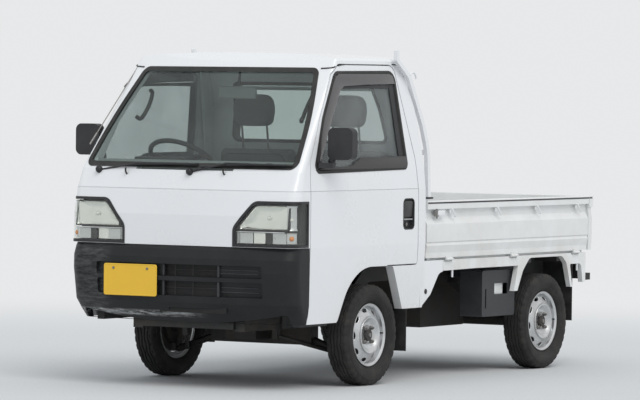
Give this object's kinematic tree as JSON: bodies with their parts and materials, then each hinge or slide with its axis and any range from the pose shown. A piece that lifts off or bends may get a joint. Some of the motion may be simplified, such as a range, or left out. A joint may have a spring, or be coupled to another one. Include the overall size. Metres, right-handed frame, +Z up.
{
  "type": "kei truck",
  "caption": "Cab-over kei truck with two doors, a flat bed with drop sides and tailgate, steered front wheels and a guard frame behind the cab.",
  "frame": {"origin": "on the ground at the middle of the truck's bounding box", "axes": "+Z up; +Y to the tail, so the nose looks to -Y; +X to the vehicle's left"},
  "size_m": [1.72, 3.295, 1.766],
  "materials": {
    "white_paint": "gloss",
    "black_steel": "satin, dusty",
    "silver_steel": "satin",
    "cast_iron": "rough",
    "steel": "dull",
    "dark_plastic": "matte, scuffed",
    "black_plastic": "matte",
    "grey_plastic": "matte",
    "seal_rubber": "matte",
    "tyre": "dusty",
    "glass": "clear",
    "lamp_glass": "clear",
    "red_lens": "gloss",
    "plate_yellow": "gloss",
    "seat_fabric": "woven"
  },
  "bodies": {
    "truck": {"bed_deck": "white_paint", "bed_skirts": "white_paint", "cab_floor": "white_paint", "cab_glass": "glass", "chassis_frame": "black_steel", "cross_members": "black_steel", "dashboard": "grey_plastic", "drivetrain": "cast_iron", "exhaust": "steel", "flaps_and_buffers": "seal_rubber", "front_bumper": "dark_plastic", "front_panel": "white_paint", "front_suspension": "black_steel", "fuel_tank": "black_steel", "guard_frame": "white_paint", "headlamps": "lamp_glass", "lamp_cases": "black_plastic", "number_plate": "plate_yellow", "rear_axle": "black_steel", "rear_wall": "white_paint", "roof": "white_paint", "seats": "seat_fabric", "side_box": "dark_plastic", "side_frames": "white_paint", "tail_lamps": "red_lens", "window_seals": "seal_rubber", "wipers": "black_plastic"},
    "door_left": {"door_left": "white_paint", "door_glass_left": "glass", "mirror_left": "black_plastic"},
    "door_right": {"door_right": "white_paint", "door_glass_right": "glass", "mirror_right": "black_plastic"},
    "side_gate_left": {"side_gate_left": "white_paint"},
    "side_gate_right": {"side_gate_right": "white_paint"},
    "tailgate": {"tailgate": "white_paint"},
    "steering_wheel": {"steering_wheel": "black_plastic"},
    "knuckle_left": {"knuckle_left": "cast_iron"},
    "knuckle_right": {"knuckle_right": "cast_iron"},
    "wheel_front_left": {"rim_front_left": "silver_steel", "tyre_front_left": "tyre"},
    "wheel_front_right": {"rim_front_right": "silver_steel", "tyre_front_right": "tyre"},
    "wheel_rear_left": {"rim_rear_left": "silver_steel", "tyre_rear_left": "tyre"},
    "wheel_rear_right": {"rim_rear_right": "silver_steel", "tyre_rear_right": "tyre"}
  },
  "joints": [
    {"name": "door_left_hinge", "type": "hinge", "parent": "truck", "child": "door_left", "pos_m": [0.688, -1.419, 0.9], "axis": [0, 0, -1], "range_deg": [0, 65]},
    {"name": "door_right_hinge", "type": "hinge", "parent": "truck", "child": "door_right", "pos_m": [-0.688, -1.419, 0.9], "axis": [0, 0, 1], "range_deg": [0, 65]},
    {"name": "side_gate_left_hinge", "type": "hinge", "parent": "truck", "child": "side_gate_left", "pos_m": [0.69, 0.7, 0.646], "axis": [0, 1, 0], "range_deg": [0, 170]},
    {"name": "side_gate_right_hinge", "type": "hinge", "parent": "truck", "child": "side_gate_right", "pos_m": [-0.69, 0.7, 0.646], "axis": [0, -1, 0], "range_deg": [0, 170]},
    {"name": "tailgate_hinge", "type": "hinge", "parent": "truck", "child": "tailgate", "pos_m": [0, 1.641, 0.646], "axis": [-1, 0, 0], "range_deg": [0, 170]},
    {"name": "steer_left", "type": "hinge", "parent": "truck", "child": "knuckle_left", "pos_m": [0.548, -0.759, 0.16], "axis": [-0.1902, 0, 0.9817], "range_deg": [-35, 35]},
    {"name": "steer_right", "type": "hinge", "parent": "truck", "child": "knuckle_right", "pos_m": [-0.548, -0.759, 0.16], "axis": [0.1902, 0, 0.9817], "range_deg": [-36, 36]},
    {"name": "steering_wheel_turn", "type": "hinge", "parent": "truck", "child": "steering_wheel", "pos_m": [-0.3, -1.115, 1.172], "axis": [0, 0.5736, 0.8192], "range_deg": [-540, 540]},
    {"name": "spin_front_left", "type": "hinge", "parent": "knuckle_left", "child": "wheel_front_left", "pos_m": [0.6025, -0.759, 0.266], "axis": [1, 0, 0], "continuous": true},
    {"name": "spin_front_right", "type": "hinge", "parent": "knuckle_right", "child": "wheel_front_right", "pos_m": [-0.6025, -0.759, 0.266], "axis": [1, 0, 0], "continuous": true},
    {"name": "spin_rear_left", "type": "hinge", "parent": "truck", "child": "wheel_rear_left", "pos_m": [0.6025, 1.141, 0.266], "axis": [1, 0, 0], "continuous": true},
    {"name": "spin_rear_right", "type": "hinge", "parent": "truck", "child": "wheel_rear_right", "pos_m": [-0.6025, 1.141, 0.266], "axis": [1, 0, 0], "continuous": true}
  ],
  "couplings": [
    {"joint": "steer_right", "follows": "steer_left", "ratio": 1},
    {"joint": "steering_wheel_turn", "follows": "steer_left", "ratio": 15}
  ]
}
